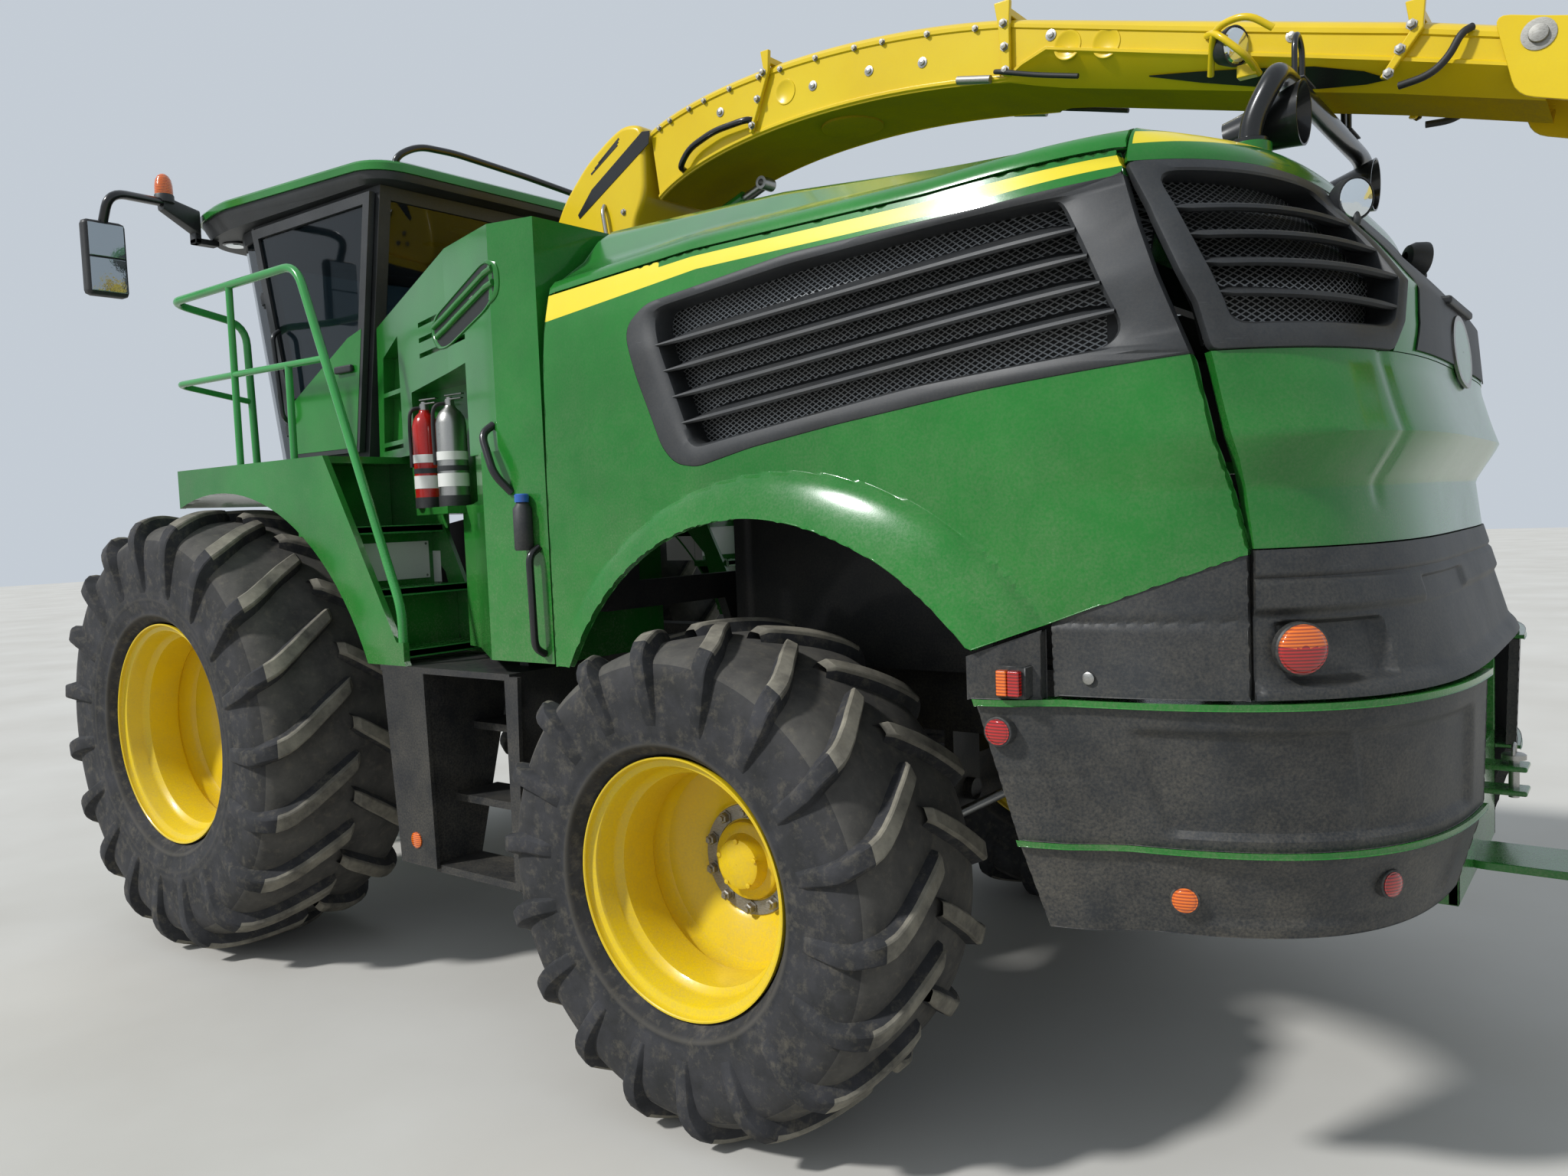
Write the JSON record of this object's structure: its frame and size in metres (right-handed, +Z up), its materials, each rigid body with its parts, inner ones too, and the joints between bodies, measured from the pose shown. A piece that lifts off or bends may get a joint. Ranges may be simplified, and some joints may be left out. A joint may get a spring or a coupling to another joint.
{
  "type": "forage harvester",
  "caption": "Self-propelled forage harvester, green body with yellow stripe and wheels, cab over the front axle, long swinging crop spout lying on its rest, steered rear axle",
  "frame": {"origin": "centre of the bounding box in plan, on the ground under the tyres", "axes": "+X forward, +Y to the left side, +Z up"},
  "size_m": [7.93, 3.3862, 3.8435],
  "materials": {
    "body_paint": "gloss green enamel, dusty and slightly chalked",
    "yellow_paint": "gloss yellow enamel with dried dirt in the dish",
    "dark_paint": "satin dark grey chassis paint, dusty",
    "black_gloss_paint": "gloss black tube paint",
    "black_plastic": "grained matt black plastic",
    "bare_steel": "bright worn steel",
    "radiator": "fine finned aluminium, dusty",
    "tyre": "ribbed rubber with dried soil on the lugs",
    "glass": "tinted flat glass",
    "lamp_red": "red and orange lamp lenses",
    "red_paint": "gloss red enamel",
    "cab_trim": "soft grey cab trim"
  },
  "bodies": {
    "chassis": {"chassis_frame": "dark_paint", "front_axle": "dark_paint", "rear_axle": "dark_paint", "engine": "dark_paint", "cooling_cores": "radiator", "body_bulkheads": "dark_paint", "hood_top": "body_paint", "tail_hood": "body_paint", "tail_grille": "black_plastic", "tail_band": "black_plastic", "rear_skirt": "black_plastic", "skirt_bars": "body_paint", "lamps": "lamp_red", "crop_channel": "dark_paint", "platform_left": "body_paint", "platform_right": "body_paint", "console_left": "body_paint", "console_right": "body_paint", "lower_steps": "dark_paint", "handrails": "body_paint", "extinguishers": "red_paint", "cab_base": "dark_paint", "cab_frame": "black_plastic", "cab_roof": "body_paint", "cab_glass": "glass", "cab_interior": "cab_trim", "mirrors": "black_plastic", "spout_rest": "black_gloss_paint", "exhausts": "black_gloss_paint"},
    "steer_left": {"knuckle_left": "dark_paint"},
    "rear_wheel_left": {"rear_rim_left": "yellow_paint", "rear_tyre_left": "tyre"},
    "front_wheel_left": {"front_rim_left": "yellow_paint", "front_tyre_left": "tyre"},
    "steer_right": {"knuckle_right": "dark_paint"},
    "rear_wheel_right": {"rear_rim_right": "yellow_paint", "rear_tyre_right": "tyre"},
    "front_wheel_right": {"front_rim_right": "yellow_paint", "front_tyre_right": "tyre"},
    "tie_rod_body": {"tie_rod": "bare_steel"},
    "engine_cover_left": {"side_panel_left": "body_paint", "side_grille_left": "black_plastic"},
    "engine_cover_right": {"side_panel_right": "body_paint", "side_grille_right": "black_plastic"},
    "door": {"cab_door": "black_plastic", "cab_door_glass": "glass"},
    "turret": {"spout_turret": "yellow_paint"},
    "spout": {"spout_arm": "yellow_paint"},
    "spout_end": {"spout_tip": "yellow_paint"},
    "spout_end_flap": {"spout_flap": "yellow_paint"},
    "spout_jack_barrel": {"spout_lift_barrel": "body_paint"},
    "spout_jack_rod": {"spout_lift_rod": "bare_steel"},
    "feeder": {"feed_housing": "body_paint"},
    "roll_upper": {"feed_roll_upper": "bare_steel"},
    "roll_lower": {"feed_roll_lower": "bare_steel"},
    "header_jack_barrels": {"header_lift_barrels": "body_paint"},
    "header_jack_rods": {"header_lift_rods": "bare_steel"}
  },
  "joints": [
    {"name": "steering_left", "type": "hinge", "parent": "chassis", "child": "steer_left", "pos_m": [-0.655, 1, 0.812], "axis": [0, 0, 1], "range_deg": [-25, 25]},
    {"name": "rear_roll_left", "type": "hinge", "parent": "steer_left", "child": "rear_wheel_left", "pos_m": [-0.655, 1.32, 0.812], "axis": [0, 1, 0], "continuous": true},
    {"name": "front_roll_left", "type": "hinge", "parent": "chassis", "child": "front_wheel_left", "pos_m": [2.51, 1.305, 1.045], "axis": [0, 1, 0], "continuous": true},
    {"name": "steering_right", "type": "hinge", "parent": "chassis", "child": "steer_right", "pos_m": [-0.655, -1, 0.812], "axis": [0, 0, 1], "range_deg": [-25, 25]},
    {"name": "rear_roll_right", "type": "hinge", "parent": "steer_right", "child": "rear_wheel_right", "pos_m": [-0.655, -1.32, 0.812], "axis": [0, 1, 0], "continuous": true},
    {"name": "front_roll_right", "type": "hinge", "parent": "chassis", "child": "front_wheel_right", "pos_m": [2.51, -1.305, 1.045], "axis": [0, 1, 0], "continuous": true},
    {"name": "tie_rod_shift", "type": "slide", "parent": "chassis", "child": "tie_rod_body", "axis": [0, -1, 0], "range_m": [-0.10143, 0.10143]},
    {"name": "cover_swing_left", "type": "hinge", "parent": "chassis", "child": "engine_cover_left", "pos_m": [0.015, 1.358, 2.09], "axis": [0, 0, -1], "range_deg": [0, 70]},
    {"name": "cover_swing_right", "type": "hinge", "parent": "chassis", "child": "engine_cover_right", "pos_m": [0.015, -1.358, 2.09], "axis": [0, 0, 1], "range_deg": [0, 70]},
    {"name": "door_swing", "type": "hinge", "parent": "chassis", "child": "door", "pos_m": [2.49, 0.922, 2.29], "axis": [-0.2226, 0, -0.9749], "range_deg": [0, 26]},
    {"name": "spout_slew", "type": "hinge", "parent": "chassis", "child": "turret", "pos_m": [0.985, 0, 3.16], "axis": [0, 0, 1], "range_deg": [-100, 100]},
    {"name": "spout_lift", "type": "hinge", "parent": "turret", "child": "spout", "pos_m": [0.595, 0, 3.62], "axis": [0, 1, 0], "range_deg": [0, 35]},
    {"name": "spout_tip_bend", "type": "hinge", "parent": "spout", "child": "spout_end", "pos_m": [-2.805, 0, 3.215], "axis": [0, -1, 0], "range_deg": [0, 30]},
    {"name": "spout_flap_bend", "type": "hinge", "parent": "spout_end", "child": "spout_end_flap", "pos_m": [-3.295, 0, 3.045], "axis": [0, -1, 0], "range_deg": [0, 45]},
    {"name": "spout_jack_swing", "type": "hinge", "parent": "turret", "child": "spout_jack_barrel", "pos_m": [0.63, 0, 3.245], "axis": [0, 1, 0], "range_deg": [0, 23.13]},
    {"name": "spout_jack_stroke", "type": "slide", "parent": "spout_jack_barrel", "child": "spout_jack_rod", "axis": [-0.9432, 0, 0.3324], "range_m": [0, 0.18352]},
    {"name": "feed_lift", "type": "hinge", "parent": "chassis", "child": "feeder", "pos_m": [2.905, 0, 1.15], "axis": [0, -1, 0], "range_deg": [-8, 12]},
    {"name": "feed_roll_lower_turn", "type": "hinge", "parent": "feeder", "child": "roll_lower", "pos_m": [3.545, 0, 0.7], "axis": [0, 1, 0], "continuous": true},
    {"name": "feed_roll_upper_turn", "type": "hinge", "parent": "feeder", "child": "roll_upper", "pos_m": [3.565, 0, 1.08], "axis": [0, 1, 0], "continuous": true},
    {"name": "header_jack_swing", "type": "hinge", "parent": "chassis", "child": "header_jack_barrels", "pos_m": [2.745, 0, 0.96], "axis": [0, -1, 0], "range_deg": [-7.22, 10.84]},
    {"name": "header_jack_stroke", "type": "slide", "parent": "header_jack_barrels", "child": "header_jack_rods", "axis": [0.9422, 0, -0.335], "range_m": [-0.03197, 0.04795]}
  ],
  "couplings": [
    {"joint": "steering_right", "follows": "steering_left", "ratio": 1},
    {"joint": "tie_rod_shift", "follows": "steering_left", "m_per_rad": 0.23246},
    {"joint": "spout_flap_bend", "follows": "spout_tip_bend", "ratio": 1.5},
    {"joint": "spout_jack_swing", "follows": "spout_lift", "ratio": 0.66078},
    {"joint": "spout_jack_stroke", "follows": "spout_lift", "m_per_rad": 0.30042},
    {"joint": "feed_roll_upper_turn", "follows": "feed_roll_lower_turn", "ratio": -0.6},
    {"joint": "header_jack_swing", "follows": "feed_lift", "ratio": 0.90305},
    {"joint": "header_jack_stroke", "follows": "feed_lift", "m_per_rad": 0.2289}
  ]
}
